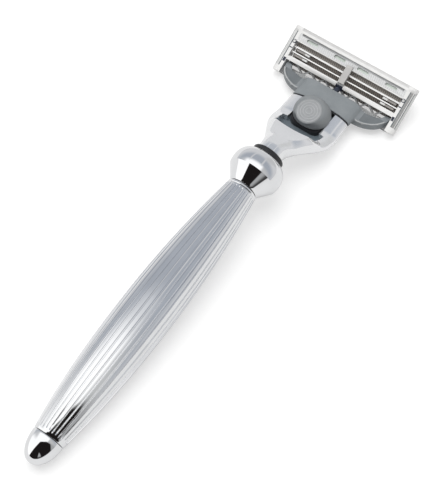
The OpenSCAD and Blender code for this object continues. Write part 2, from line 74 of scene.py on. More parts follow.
# Head, dock and blade unit
HEAD_LEN = 24.9
HEAD_W = 20.2
HEAD_TAPER = 0.25
HEAD_DROP = 10.3
HEAD_UP = 2.65
HEAD_DOWN = 2.7
OVAL_POWER = 2.2
DOCK_SLOPE = 8
CART_TILT = 23.6
UNIT_AHEAD = 7.46
UNIT_Z = -12.63

# Stations along the axis
SEAM_Y = CAP_LEN
RING_Y = SEAM_Y + BARREL_LEN
BULB_END_Y = RING_Y + BULB_LEN
NECK_Y = BULB_END_Y + 2 * SEAL_R + 2 * PART_GAP
HEAD_Y = NECK_Y + HEAD_LEN
SWELL_Y = SEAM_Y + SWELL_SHARE * BARREL_LEN
CONE_Y = RING_Y + 4.6
WIDE_Y = RING_Y + 6.7
BEND_Y0 = NECK_Y + 1.1
BEND_Y1 = NECK_Y + 19.6
FLARE_Y1 = NECK_Y + 15.6
CREASE_Y1 = NECK_Y + 13.6
ROD_SPAN = (3.65, RING_Y + 5)


def smooth(t):
    """A soft step from 0 to 1."""
    t = min(1.0, max(0.0, t))
    return t * t * (3 - 2 * t)


def signed_power(value, power):
    """A power of a number's size that keeps its sign, for the sides of an oval."""
    return math.copysign(abs(value) ** power, value)


def barrel_r(y):
    """The barrel's radius at a station: it swells to its widest from both ends."""
    if y < SWELL_Y:
        return SWELL_R - (SWELL_R - SEAM_R) * ((SWELL_Y - y) / (SWELL_Y - SEAM_Y)) ** SWELL_POWER[0]
    return SWELL_R - (SWELL_R - RING_R) * ((y - SWELL_Y) / (RING_Y - SWELL_Y)) ** SWELL_POWER[1]


def dome_r(y):
    """The end cap's radius at a station."""
    return SEAM_R * (1 - (1 - y / CAP_LEN) ** CAP_POWER) ** (1 / CAP_POWER)


def head_z(y):
    """The height of the head's centre line: it bends down and then falls on at the dock's slope."""
    drop = HEAD_DROP * smooth((y - BEND_Y0) / (BEND_Y1 - BEND_Y0))
    return -drop - math.tan(math.radians(DOCK_SLOPE)) * max(0, y - BEND_Y1)


# Frames: the handle's axis laid on the table, the dock at the head's front, and the blade unit
turn = Matrix.Rotation(math.radians(REST_TILT), 4, "X")
rod_low, rod_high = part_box("tie_rod")
rod_middle = turn @ Vector((0, sum(ROD_SPAN) / 2, 0)) * MM
LAY = Matrix.Translation((rod_low + rod_high) / 2 - rod_middle) @ turn @ Matrix.Scale(MM, 4)
DOCK = Matrix.Translation((0, HEAD_Y, head_z(HEAD_Y))) @ Matrix.Rotation(math.radians(-DOCK_SLOPE), 4, "X")
UNIT = Matrix.Translation((0, HEAD_Y + UNIT_AHEAD, UNIT_Z)) @ Matrix.Rotation(math.radians(CART_TILT), 4, "X")


# Node trees
def add(tree, kind, sockets=None, **settings):
    """A shader node with its settings and the plain values of its sockets."""
    node = tree.nodes.new("ShaderNode" + kind)
    for name, value in settings.items():
        setattr(node, name, value)
    for name, value in (sockets or {}).items():
        node.inputs[name].default_value = value
    return node


def new_group(name, inputs, outputs):
    """An empty shader group and its two ends."""
    group = bpy.data.node_groups.new(name, "ShaderNodeTree")
    for label, kind in inputs:
        group.interface.new_socket(label, in_out="INPUT", socket_type="NodeSocket" + kind)
    for label, kind in outputs:
        group.interface.new_socket(label, in_out="OUTPUT", socket_type="NodeSocket" + kind)
    return group, group.nodes.new("NodeGroupInput"), group.nodes.new("NodeGroupOutput")


def make_tint_group():
    """Colour that wanders between two shades, as plate, polymer and moulding do."""
    group, given, made = new_group(
        "shade_drift",
        [("Vector", "Vector"), ("Scale", "Float"), ("Dark", "Color"), ("Light", "Color")],
        [("Color", "Color")],
    )
    noise = add(group, "TexNoise", {"Detail": 4.0, "Roughness": 0.6})
    spread = add(group, "MapRange", {"From Min": 0.3, "From Max": 0.7})
    mix = add(group, "Mix", data_type="RGBA")
    group.links.new(given.outputs["Vector"], noise.inputs["Vector"])
    group.links.new(given.outputs["Scale"], noise.inputs["Scale"])
    group.links.new(noise.outputs[0], spread.inputs["Value"])
    group.links.new(spread.outputs["Result"], mix.inputs[0])
    group.links.new(given.outputs["Dark"], mix.inputs[6])
    group.links.new(given.outputs["Light"], mix.inputs[7])
    group.links.new(mix.outputs[2], made.inputs["Color"])
    return group


def make_grain_group():
    """Fine grain of a finish: a roughness that wanders from Low to High, and a height for bump."""
    group, given, made = new_group(
        "finish_grain",
        [("Vector", "Vector"), ("Scale", "Float"), ("Low", "Float"), ("High", "Float")],
        [("Roughness", "Float"), ("Height", "Float")],
    )
    noise = add(group, "TexNoise", {"Detail": 2.0, "Roughness": 0.5})
    spread = add(group, "MapRange", {"From Min": 0.3, "From Max": 0.7})
    for name in ("Vector", "Scale"):
        group.links.new(given.outputs[name], noise.inputs[name])
    group.links.new(given.outputs["Low"], spread.inputs["To Min"])
    group.links.new(given.outputs["High"], spread.inputs["To Max"])
    group.links.new(noise.outputs[0], spread.inputs["Value"])
    group.links.new(spread.outputs["Result"], made.inputs["Roughness"])
    group.links.new(noise.outputs[0], made.inputs["Height"])
    return group


def make_hatch_group():
    """Fine parallel lines as a mask: Lines points across them and is as long as they are frequent."""
    group, given, made = new_group(
        "hatch_lines", [("Vector", "Vector"), ("Lines", "Vector"), ("Strength", "Float")], [("Mask", "Float")]
    )
    across = add(group, "VectorMath", operation="DOT_PRODUCT")
    fold = add(group, "Math", {1: 0.5}, operation="PINGPONG")
    soft = add(group, "MapRange", {"From Min": 0.12, "From Max": 0.38}, interpolation_type="SMOOTHSTEP")
    group.links.new(given.outputs["Vector"], across.inputs[0])
    group.links.new(given.outputs["Lines"], across.inputs[1])
    group.links.new(across.outputs["Value"], fold.inputs[0])
    group.links.new(fold.outputs[0], soft.inputs["Value"])
    group.links.new(given.outputs["Strength"], soft.inputs["To Max"])
    group.links.new(soft.outputs["Result"], made.inputs["Mask"])
    return group


SHADE_DRIFT = make_tint_group()
HATCH_LINES = make_hatch_group()
FINISH_GRAIN = make_grain_group()


def finish(name, shades, drift, grain, rough, bump=0.0, stretch=(1, 1, 1), hatch=None, metallic=0.0):
    """A material: two shades that drift, fine lines where it has them, and a grain in roughness and bump."""
    material = bpy.data.materials.new(name)
    material.use_nodes = True
    tree = material.node_tree
    shader = tree.nodes["Principled BSDF"]
    shader.inputs["Metallic"].default_value = metallic
    place = add(tree, "TexCoord")
    mapping = add(tree, "Mapping", {"Scale": stretch})
    tree.links.new(place.outputs["Object"], mapping.inputs["Vector"])
    tint = add(tree, "Group", node_tree=SHADE_DRIFT)
    tint.inputs["Scale"].default_value = drift
    tint.inputs["Dark"].default_value = (*shades[0], 1)
    tint.inputs["Light"].default_value = (*shades[1], 1)
    tree.links.new(mapping.outputs["Vector"], tint.inputs["Vector"])
    if hatch:
        lines, strength, ink = hatch
        mask = add(tree, "Group", node_tree=HATCH_LINES)
        mask.inputs["Lines"].default_value = lines
        mask.inputs["Strength"].default_value = strength
        mix = add(tree, "Mix", data_type="RGBA")
        mix.inputs[7].default_value = (*ink, 1)
        tree.links.new(place.outputs["Object"], mask.inputs["Vector"])
        tree.links.new(mask.outputs["Mask"], mix.inputs[0])
        tree.links.new(tint.outputs["Color"], mix.inputs[6])
        tree.links.new(mix.outputs[2], shader.inputs["Base Color"])
    else:
        tree.links.new(tint.outputs["Color"], shader.inputs["Base Color"])
    speck = add(tree, "Group", node_tree=FINISH_GRAIN)
    speck.inputs["Scale"].default_value = grain
    speck.inputs["Low"].default_value = rough[0]
    speck.inputs["High"].default_value = rough[1]
    tree.links.new(mapping.outputs["Vector"], speck.inputs["Vector"])
    tree.links.new(speck.outputs["Roughness"], shader.inputs["Roughness"])
    if bump:
        relief = add(tree, "Bump", {"Strength": 1.0, "Distance": bump * MM})
        tree.links.new(speck.outputs["Height"], relief.inputs["Height"])
        tree.links.new(relief.outputs["Normal"], shader.inputs["Normal"])
    return material


HANDLE_CHROME = finish(
    "handle_chrome", ((0.75, 0.755, 0.765), (0.8, 0.805, 0.815)), 120, 900, (0.02, 0.045), metallic=1.0
)
HEAD_CHROME = finish(
    "head_chrome", ((0.8, 0.805, 0.815), (0.85, 0.855, 0.865)), 160, 900, (0.04, 0.08), metallic=0.87
)
SEAL_RUBBER = finish(
    "seal_rubber", ((0.012, 0.012, 0.013), (0.022, 0.022, 0.024)), 500, 6000, (0.38, 0.5), bump=0.01
)
DOCK_PLASTIC = finish(
    "dock_plastic", ((0.010, 0.010, 0.012), (0.018, 0.018, 0.021)), 400, 7000, (0.3, 0.42), bump=0.008
)
TRACK_PLASTIC = finish(
    "track_plastic", ((0.13, 0.16, 0.185), (0.17, 0.2, 0.225)), 300, 7000, (0.28, 0.4), bump=0.006
)
BUTTON_PLASTIC = finish(
    "button_plastic", ((0.22, 0.235, 0.245), (0.26, 0.275, 0.285)), 300, 8000, (0.36, 0.5), bump=0.01
)
PAD_PLASTIC = finish(
    "pad_plastic", ((0.31, 0.32, 0.33), (0.35, 0.36, 0.37)), 500, 8000, (0.36, 0.5), bump=0.01
)
# Lighter copy of the pad's plastic: painted highlight on the crests of the pad's ridges
RIDGE_HIGHLIGHT_PLASTIC = finish(
    "ridge_highlight_plastic", ((0.38, 0.39, 0.4), (0.46, 0.47, 0.48)), 900, 8000, (0.36, 0.5), bump=0.01
)
# Dark blue plastic of the plunger, also used as painted shade on the housing's cam and in the flush hollows
# at the ends
PLUNGER_AND_SHADE_PLASTIC = finish(
    "plunger_plastic", ((0.02, 0.025, 0.045), (0.03, 0.036, 0.06)), 400, 5000, (0.2, 0.3)
)
CONNECTOR_PLASTIC = finish(
    "connector_plastic", ((0.225, 0.245, 0.258), (0.265, 0.285, 0.298)), 260, 8000, (0.4, 0.55), bump=0.012
)
# Darker grey: painted shade, on the connector's arm tops and on the end clips
PAINTED_SHADE_PLASTIC = finish(
    "painted_shade_plastic", ((0.15, 0.165, 0.175), (0.185, 0.2, 0.21)), 260, 8000, (0.4, 0.55), bump=0.012
)
# Lighter grey: painted highlight along the rims of the connector's arms
RIM_HIGHLIGHT_PLASTIC = finish(
    "rim_highlight_plastic", ((0.42, 0.43, 0.43), (0.48, 0.49, 0.49)), 260, 8000, (0.36, 0.5), bump=0.01
)
HOUSING_SILVER = finish(
    "housing_silver", ((0.66, 0.665, 0.665), (0.74, 0.745, 0.745)), 300, 5000, (0.24, 0.34),
    bump=0.006, hatch=((1500, 260, 0), 0.5, (0.52, 0.525, 0.53)), metallic=0.15,
)
# Darker silver: painted shade on the floor of the cap beam's groove
GROOVE_SHADE_SILVER = finish(
    "groove_shade_silver", ((0.34, 0.345, 0.35), (0.4, 0.405, 0.41)), 300, 5000, (0.3, 0.4), bump=0.006
)
# Pale plastic of the lip and end blocks, also used as painted highlight on the cap step, the guard beam and
# the clips' bend
LIP_AND_HIGHLIGHT_PLASTIC = finish(
    "lip_and_highlight_plastic", ((0.8, 0.795, 0.785), (0.88, 0.875, 0.865)), 300, 5000, (0.35, 0.45), bump=0.004
)
RIB_PLASTIC = finish(
    "rib_plastic", ((0.5, 0.49, 0.475), (0.58, 0.57, 0.555)), 300, 5000, (0.3, 0.4), bump=0.004
)
# Darker brownish grey with fine hatch lines: painted shade on the web deep in the housing
WEB_SHADE_PLASTIC = finish(
    "web_shade_plastic", ((0.5, 0.465, 0.43), (0.6, 0.56, 0.52)), 300, 5000, (0.4, 0.5),
    bump=0.006, hatch=((1500, 300, 0), 0.8, (0.25, 0.23, 0.21)),
)
CLIP_METAL = finish(
    "clip_metal", ((0.62, 0.62, 0.61), (0.7, 0.7, 0.69)), 300, 1500, (0.2, 0.28),
    stretch=(4, 0.3, 4), metallic=0.5,
)
STRIP_POLYMER = finish(
    "strip_polymer", ((0.64, 0.7, 0.645), (0.75, 0.8, 0.75)), 500, 4000, (0.35, 0.5), bump=0.01
)
FIN_RUBBER = finish(
    "fin_rubber", ((0.3, 0.32, 0.33), (0.36, 0.38, 0.39)), 400, 7000, (0.45, 0.6), bump=0.008
)
# Darker brownish grey: painted shade on the fingers towards their roots
ROOT_SHADE_PLASTIC = finish(
    "root_shade_plastic", ((0.3, 0.28, 0.265), (0.38, 0.36, 0.345)), 400, 6000, (0.35, 0.45), bump=0.006
)
FINGER_PLASTIC = finish(
    "finger_plastic", ((0.7, 0.7, 0.69), (0.78, 0.78, 0.77)), 400, 6000, (0.35, 0.45), bump=0.006
)
BLADE_STEEL = finish(
    "blade_steel", ((0.56, 0.52, 0.485), (0.68, 0.64, 0.6)), 300, 2200, (0.3, 0.42),
    stretch=(0.06, 4, 4), hatch=((1500, 300, 0), 0.8, (0.3, 0.275, 0.255)), metallic=0.35,
)
# Near-white steel: painted highlight on the upper edges of the supports' legs
EDGE_HIGHLIGHT_STEEL = finish(
    "edge_highlight_steel", ((0.92, 0.91, 0.9), (0.98, 0.975, 0.965)), 300, 2200, (0.35, 0.45), stretch=(0.06, 4, 4)
)
ROD_STEEL = finish(
    "rod_steel", ((0.42, 0.42, 0.43), (0.52, 0.52, 0.53)), 300, 2500, (0.3, 0.42),
    stretch=(4, 0.2, 4), metallic=1.0,
)


# Meshes
def make_piece(name, bm, body, finishes, nodes=(), sharp=32, place=Matrix()):
    """Puts a bmesh, drawn in millimetres, in its place as a finished piece that rides on its body."""
    bm.transform(LAY @ place)
    mesh = bpy.data.meshes.new(name)
    bm.to_mesh(mesh)
    bm.free()
    for material in finishes:
        mesh.materials.append(material)
    mesh.shade_smooth()
    mesh.set_sharp_from_angle(angle=math.radians(sharp))
    piece = bpy.data.objects.new(name, mesh)
    scene.collection.objects.link(piece)
    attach(piece, body)
    if nodes:
        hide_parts(*nodes)


def turned(profile, steps=128):
    """A closed turned solid: points of radius and station, spun round the handle's axis."""
    bm = bmesh.new()
    line = [bm.verts.new((r, y, 0)) for r, y in profile]
    edges = [bm.edges.new(pair) for pair in zip(line, line[1:])]
    bmesh.ops.spin(
        bm, geom=line + edges, axis=(0, 1, 0), cent=(0, 0, 0), angle=math.tau, steps=steps, use_merge=True
    )
    bmesh.ops.remove_doubles(bm, verts=bm.verts, dist=1e-4)
    bmesh.ops.recalc_face_normals(bm, faces=bm.faces)
    return bm


def arc(centre, radii, start, end, steps):
    """Points on an elliptic arc, in degrees."""
    turns = [math.radians(start + (end - start) * i / steps) for i in range(steps + 1)]
    return [(centre[0] + radii[0] * math.cos(a), centre[1] + radii[1] * math.sin(a)) for a in turns]


def ring_edges(bm, ring):
    """The edges of a closed ring of vertices."""
    return [bm.edges.get(pair) for pair in zip(ring, ring[1:] + ring[:1])]


def lofted(rings):
    """A closed skin through rings of equal count, each one extruded from the ring before it."""
    bm = bmesh.new()
    ring = bmesh.ops.create_circle(bm, segments=len(rings[0]), radius=1)["verts"]
    first = ring
    for vert, place in zip(ring, rings[0]):
        vert.co = place
    for places in rings[1:]:
        made = bmesh.ops.extrude_edge_only(bm, edges=ring_edges(bm, ring))["geom"]
        fresh = {v for v in made if isinstance(v, bmesh.types.BMVert)}
        ring = [next(v for v in (e.other_vert(old) for e in old.link_edges) if v in fresh) for old in ring]
        for vert, place in zip(ring, places):
            vert.co = place
    for end in (first, ring):
        bmesh.ops.contextual_create(bm, geom=ring_edges(bm, end))
    bmesh.ops.recalc_face_normals(bm, faces=bm.faces)
    return bm


def local_copy(node, place):
    """A node's solid as one merged mesh, in the millimetres of the dock's or the blade unit's frame."""
    bm = bmesh.new()
    bm.from_mesh(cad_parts[node].data)
    bm.transform(LAY.inverted())
    bmesh.ops.remove_doubles(bm, verts=bm.verts, dist=2e-3)
    bm.transform(place.inverted())
    return bm


def split(bm, at, normal):
    """Cuts a mesh along a plane and keeps both sides."""
    parts = bm.verts[:] + bm.edges[:] + bm.faces[:]
    bmesh.ops.bisect_plane(bm, geom=parts, dist=1e-4, plane_co=at, plane_no=normal)


def applied(mesh, *settings):
    """A mesh with modifiers applied, each given as its kind and its settings."""
    stand_in = bpy.data.objects.new("stand_in", mesh)
    scene.collection.objects.link(stand_in)
    for kind, values in settings:
        modifier = stand_in.modifiers.new(kind.lower(), kind)
        for name, value in values.items():
            setattr(modifier, name, value)
    made = bpy.data.meshes.new_from_object(stand_in.evaluated_get(bpy.context.evaluated_depsgraph_get()))
    bpy.data.objects.remove(stand_in)
    return made


# Handle
def end_cap():
    """The domed cap, its rows closest at the tip, with a rounded rim."""
    rows, edge = 28, 0.14
    stations = [CAP_LEN * (1 - math.cos(math.pi / 2 * i / rows)) for i in range(rows)]
    dome = [(dome_r(y), y) for y in stations]
    lip = arc((SEAM_R - edge, CAP_LEN - edge), (edge, edge), 0, 90, 4)
    bm = turned([*dome, *lip, (0, CAP_LEN)])
    make_piece("end_cap_dome", bm, "handle", [HANDLE_CHROME], ["end_cap"])


def flute_columns():
    """Angles in degrees from a flute's middle, with shares of its depth, across it and half of each land."""
    half_w = math.degrees(FLUTE_W / 2 / SWELL_R)
    half_pitch = 180 / FLUTES
    hollow = [(0.0, 1.0), (0.65, 0.85), (1.0, 0.1), (1.2, 0.0)]
    near = [(share * half_w, depth) for share, depth in hollow]
    rest = half_pitch - near[-1][0]
    side = near + [(near[-1][0] + rest * share, 0.0) for share in (0.35, 0.7)]
    return [(-half_pitch, 0.0)] + [(-a, d) for a, d in reversed(side[1:])] + side


def flute_fade(y):
    """How far the flutes are cut at a station: they run out before the plain band at each end."""
    tail = smooth((y - SEAM_Y - BAND_LEN) / FLUTE_RUNOUT + 0.5)
    front = smooth((RING_Y - BAND_LEN - y) / FLUTE_RUNOUT + 0.5)
    return tail * front


def land_lean(land):
    """How far a land leans, scattered from one to the next."""
    return LAND_LEAN * math.sin(2.4 * land * land + 1.3 * land)


def barrel_profile():
    """The barrel's outline without flutes: tail rim, rows closer where flutes run out, front bead."""
    rows, edge, step, seam, bead, nose_gap = 96, 0.14, 0.13, 0.16, 0.55, 0.1
    start, end = SEAM_Y + BAND_LEN, RING_Y - BAND_LEN
    runout = [FLUTE_RUNOUT * (i / 4 - 0.5) for i in range(5)]
    low_band = [SEAM_Y + 0.55, SEAM_Y + 0.8]
    high_band = [RING_Y - 1.22, RING_Y - 1.2]
    middle = [start + (end - start) * i / rows for i in range(2, rows - 1)]
    stations = [*low_band, *(start + y for y in runout), *middle, *(end + y for y in runout), *high_band]
    rim = arc((SEAM_R - step, SEAM_Y + seam + edge), (edge, edge), -90, 0, 4)
    nose = arc((RING_R - bead + nose_gap, RING_Y - nose_gap - bead), (bead, bead), -75, 78, 10)
    body = [(barrel_r(y), y) for y in stations]
    return [(0, SEAM_Y + seam), *rim, *body, *nose, (0, RING_Y - nose_gap)]


def handle_barrel():
    """The barrel, turned plain and then pressed in along its flutes, with lands that lean a little."""
    across = flute_columns()
    columns = FLUTES * len(across)
    bm = turned(barrel_profile(), steps=columns)
    for vert in bm.verts:
        radius = math.hypot(vert.co.x, vert.co.z)
        on_axis = radius < SEAM_R / 2
        if on_axis:
            continue
        angle = math.degrees(math.atan2(vert.co.z, vert.co.x))
        flute, column = divmod(round(angle * columns / 360), len(across))
        offset, depth = across[column]
        fade = flute_fade(vert.co.y)
        land = flute if offset > 0 else flute - 1
        lean = land_lean(land) * (1 - depth) * fade
        radius += lean * (offset * FLUTES / 180 - math.copysign(1, offset))
        radius -= FLUTE_DEPTH * depth * fade * radius / SWELL_R
        placed = math.radians(flute * 360 / FLUTES + offset)
        vert.co = (radius * math.cos(placed), vert.co.y, radius * math.sin(placed))
    make_piece("fluted_barrel", bm, "handle", [HANDLE_CHROME], ["handle_barrel"], sharp=28)


def neck_bulb():
    """The bulb: a cone, a soft shoulder and a rounded crown."""
    edge, seam, foot_step, cone_step = 0.12, 0.06, 0.13, 0.24
    foot = RING_Y + seam
    foot_r = RING_R - foot_step
    cone_r = BULB_R - cone_step
    crown = arc((BULB_END_R, WIDE_Y), (BULB_R - BULB_END_R, BULB_END_Y - WIDE_Y), 0, 90, 26)
    shoulder = [
        (cone_r + (BULB_R - cone_r) * math.sin(math.pi / 2 * i / 6), CONE_Y + (WIDE_Y - CONE_Y) * i / 6)
        for i in range(6)
    ]
    cone = [
        (foot_r + (cone_r - foot_r) * i / 8, foot + edge + (CONE_Y - foot - edge) * i / 8)
        for i in range(8)
    ]
    bm = turned([(0, foot), (foot_r - edge, foot), *cone, *shoulder, *crown, (0, BULB_END_Y)])
    make_piece("bulb_body", bm, "handle", [HANDLE_CHROME], ["neck_bulb"], sharp=10)


def neck_seal():
    """The rubber ring, flattened a little between the bulb and the head."""
    inner_r, pressed, edge = 3.2, 0.1, 0.42
    outer_r = inner_r + 2 * SEAL_R - pressed
    low = BULB_END_Y + PART_GAP
    high = low + 2 * SEAL_R
    profile = [
        (inner_r, low),
        *arc((outer_r - edge, low + edge), (edge, edge), -90, -10, 6),
        *arc((outer_r - edge, high - edge), (edge, edge), 10, 90, 6),
        (inner_r, high),
    ]
    bm = turned([*profile, (inner_r, low)])
    make_piece("neck_ring", bm, "handle", [SEAL_RUBBER], ["neck_seal"], sharp=40)


# The hump over the bend and the facet ground across its top
HUMP_Y = NECK_Y + 8.6
HUMP_REACH = 4.2
HUMP_UP = 2
HUMP_SETTLE = 7
FACET_TOP = Vector((0, NECK_Y + 1.9, 3.85))
FACET_FALL = 0.58

# The window in front of the facet, in the dock's frame apart from its rear edge
REAR_EDGE_Y = NECK_Y + 11.1
REAR_EDGE_BOW = 0.018
REAR_HALF_W = 6.9
POCKET_HALF_W = 6.2
POCKET_REAR = -11.2
POCKET_DEEP = 0.52
NOTCH_HALF_W = 7.1
NOTCH_END = -8.7
WINDOW_HALF_W = 5.5
PLUNGER_N = 0.5
PLUNGER_BORE_R = 1


def head_half_w(y):
    """Half of the head's width at a station: it flares from the neck and tapers a little at the front."""
    flare = smooth((y - BEND_Y0) / (FLARE_Y1 - BEND_Y0))
    taper = smooth((y - FLARE_Y1) / (HEAD_Y - FLARE_Y1))
    return NECK_R + (HEAD_W / 2 - NECK_R) * flare - HEAD_TAPER * taper


def head_slope(y):
    """How steeply the head's centre line falls, in radians."""
    step = 0.05
    return math.atan2(head_z(y - step) - head_z(y + step), 2 * step)


def lowest_y(part):
    """The lowest station of a vertex, an edge or a face."""
    return part.co.y if isinstance(part, bmesh.types.BMVert) else min(v.co.y for v in part.verts)


def head_ring(y, count=128):
    """The head's section at a station: an oval, higher over the bend, set square to the centre line."""
    settle = smooth((y - BEND_Y0) / (CREASE_Y1 - BEND_Y0))
    bottom = NECK_R + (HEAD_DOWN - NECK_R) * settle
    hump = max(0, 1 - ((y - HUMP_Y) / HUMP_REACH) ** 2) ** 2
    top = HEAD_UP + (NECK_R - HEAD_UP) * (1 - smooth((y - NECK_Y) / HUMP_SETTLE)) + HUMP_UP * hump
    slope = head_slope(y)
    ring = []
    for i in range(count):
        a = math.tau * (i + 0.5) / count
        x = head_half_w(y) * signed_power(math.cos(a), 2 / OVAL_POWER)
        z = signed_power(math.sin(a), 2 / OVAL_POWER) * (top if math.sin(a) > 0 else bottom)
        ring.append((x, y + z * math.sin(slope), head_z(y) + z * math.cos(slope)))
    return ring


def prism(outline, along, low, high):
    """An outline of pairs in the plane across an axis, drawn out along it between two stations."""
    bm = bmesh.new()
    axis = "XYZ".index(along)
    places = [[*pair[:axis], low, *pair[axis:]] for pair in outline]
    face = bm.faces.new([bm.verts.new(place) for place in places])
    up = bmesh.ops.extrude_face_region(bm, geom=[face])["geom"]
    reach = Vector()
    reach[axis] = high - low
    bmesh.ops.translate(bm, verts=[v for v in up if isinstance(v, bmesh.types.BMVert)], vec=reach)
    bmesh.ops.recalc_face_normals(bm, faces=bm.faces)
    return bm


def box(half_w, run, rise):
    """A block across the dock, given by its half width, its run and its rise."""
    return prism([(-half_w, run[0]), (half_w, run[0]), (half_w, run[1]), (-half_w, run[1])], "Z", *rise)


def rear_cutter(high=9, count=12):
    """The window's sloping rear wall, from the straight edge of its floor to the bowed edge on the facet."""
    floor_line, top_line = [], []
    for i in range(count + 1):
        x = REAR_HALF_W * (2 * i / count - 1)
        y = REAR_EDGE_Y + REAR_EDGE_BOW * x * x
        edge = DOCK.inverted() @ Vector((x, y, FACET_TOP.z - FACET_FALL * (y - FACET_TOP.y)))
        floor_line.append((x, POCKET_REAR, 0))
        top_line.append((x, POCKET_REAR + (edge.y - POCKET_REAR) * high / edge.z, high))
    front_s = NOTCH_END - 0.3
    rings = [
        line + [(x, front_s, line[0][2]) for x in (REAR_HALF_W, -REAR_HALF_W)]
        for line in (floor_line, top_line)
    ]
    return lofted(rings)


def window_cutters():
    """The opening of the head: rear wall, slot of the button, floor pocket, end notches and plunger bore."""
    reach, high, overlap, bore_end = 2, 8, 0.4, -3.2
    bore = arc((0, PLUNGER_N), (PLUNGER_BORE_R, PLUNGER_BORE_R), 0, 345, 23)
    return (
        rear_cutter(),
        box(WINDOW_HALF_W, (NOTCH_END - overlap, reach), (0, high)),
        box(POCKET_HALF_W, (POCKET_REAR, reach), (-0.01, POCKET_DEEP)),
        box(NOTCH_HALF_W, (POCKET_REAR, NOTCH_END), (-0.02, high)),
        prism(bore, "Y", bore_end, reach),
    )


def carved(bm, cutters):
    """A bmesh with other closed meshes taken out of it."""
    mesh = bpy.data.meshes.new("blank")
    bm.to_mesh(mesh)
    bm.free()
    for each in cutters:
        tool_mesh = bpy.data.meshes.new("tool")
        each.to_mesh(tool_mesh)
        each.free()
        tool = bpy.data.objects.new("tool", tool_mesh)
        scene.collection.objects.link(tool)
        mesh = applied(mesh, ("BOOLEAN", {"object": tool, "operation": "DIFFERENCE", "solver": "MANIFOLD"}))
        bpy.data.objects.remove(tool)
    bm = bmesh.new()
    bm.from_mesh(mesh)
    return bm


def head_yoke():
    """The bent head: a lofted oval, its facet cut and softened, and its window carved out."""
    rows, facet_edge = 96, 0.08
    bm = lofted([head_ring(NECK_Y + HEAD_LEN * i / rows) for i in range(rows + 1)])
    bend = [part for part in bm.verts[:] + bm.edges[:] + bm.faces[:] if lowest_y(part) < FLARE_Y1]
    cut = bmesh.ops.bisect_plane(
        bm, geom=bend, dist=1e-4, plane_co=FACET_TOP, plane_no=Vector((0, FACET_FALL, 1)).normalized(),
        clear_outer=True,
    )["geom_cut"]
    rim = [part for part in cut if isinstance(part, bmesh.types.BMEdge)]
    bmesh.ops.edgeloop_fill(bm, edges=rim)
    bmesh.ops.bevel(bm, geom=rim, offset=facet_edge, segments=2, profile=0.5, affect="EDGES", material=-1)
    bmesh.ops.recalc_face_normals(bm, faces=bm.faces)
    bm.transform(DOCK.inverted())
    bm = carved(bm, window_cutters())
    make_piece("bent_head", bm, "handle", [HEAD_CHROME], ["head_yoke"], sharp=24, place=DOCK)


# Seat of the thumb pad on the button and relief below the button's front, in the dock's frame
PAD_S = -6.07
PAD_N = 6.4
PAD_TILT = math.radians(18)
RELIEF_S = -3.4
RELIEF_N = 3.05


def release_button():
    """The button, domed from its oval base to the pad's seat and cut away so that it clears the connector."""
    steps, count, dome_power = 26, 72, 1.9
    half_w, half_len, centre, floor_n, band, seat_r = 5.7, 4.8, -4.1, 2.38, 0.97, 3.92
    rings = []
    for i in range(steps + 1):
        t = i / steps
        inward = 1 - (1 - t ** dome_power) ** (1 / dome_power)
        ring = []
        for k in range(count):
            a = math.tau * k / count
            c, s = signed_power(math.cos(a), 2 / OVAL_POWER), signed_power(math.sin(a), 2 / OVAL_POWER)
            base = Vector((half_w * c, centre + half_len * s, floor_n + band))
            along = seat_r * math.sin(a)
            seat = Vector((
                seat_r * math.cos(a), PAD_S + along * math.cos(PAD_TILT), PAD_N + along * math.sin(PAD_TILT)
            ))
            ring.append((*base.lerp(seat, inward).xy, base.z + (seat.z - base.z) * t))
        rings.append(ring)
    base_ring = [(x, s, floor_n) for x, s, n in rings[0]]
    relief = box(half_w + 1, (RELIEF_S, RELIEF_S + 2 * half_len), (0, RELIEF_N))
    bm = carved(lofted([base_ring, *rings]), [relief])
    make_piece(
        "thumb_button", bm, "button", [BUTTON_PLASTIC], ["release_button"],
        sharp=50, place=DOCK,
    )


def button_pad():
    """The thumb pad with its round ridges, a painted highlight on their crests."""
    radius, deep, proud, edge = 3.75, 0.5, 0.16, 0.12
    ridge, pitch, ridges, first_r, crest, foot = 0.08, 0.8, 4, 0.9, 0.1, 0.24
    profile = [(0, -deep), (radius, -deep), *arc((radius - edge, proud - edge), (edge, edge), 0, 90, 3)]
    for i in reversed(range(ridges)):
        r = first_r + i * pitch
        profile += [(r + foot, proud - ridge), (r + crest, proud)]
        profile += [(r - crest, proud), (r - foot, proud - ridge)]
    profile += [(0, proud - ridge)]
    bm = turned(profile, steps=96)
    # Faces on the ridge crests get the painted highlight
    for face in bm.faces:
        face.material_index = int(face.calc_center_median().y > proud - 0.2 * ridge)
    seat = Matrix.Translation((0, PAD_S, PAD_N)) @ Matrix.Rotation(PAD_TILT + math.radians(90), 4, "X")
    make_piece(
        "thumb_pad", bm, "button", [PAD_PLASTIC, RIDGE_HIGHLIGHT_PLASTIC], ["button_pad"],
        place=DOCK @ seat,
    )


# Places in the blade unit where the housing's finish changes, painted highlight and shade among them: x along
# it, v across it and h up
END_BLOCK_X = 18.72
LIP_V = 11.62
TOP_H = -0.5
CAP_STEP_V = (8.8, 9.2)
GUARD_V = 4
GUARD_GAP_X = 1
RIB_HALF_W = 1.1
RIB_END_V = 9.9
GROOVE_V = 10.93
GROOVE_H = (-0.4, -0.2)
WEB_V = (7.7, 8.9)
WEB_H = -2.5
CAM_HALF_W = 1.2
CAM_V = 3.75
CAM_H = -0.38


def fillet(side):
    """The soft hollow between an end of the connector's block and the arm beside it."""
    steps, inner_x, outer_x, low, high, power = 8, 8.8, 12.8, -0.45, 1.3, 2.2
    foot, rear_s, front_s = low - 0.6, 3.4, 7.5
    hollow = [
        (side * (outer_x - (outer_x - inner_x) * i / steps), low + (high - low) * (i / steps) ** power)
        for i in range(steps + 1)
    ]
    return prism([(side * inner_x, foot), (side * outer_x, foot), *hollow], "Y", rear_s, front_s)


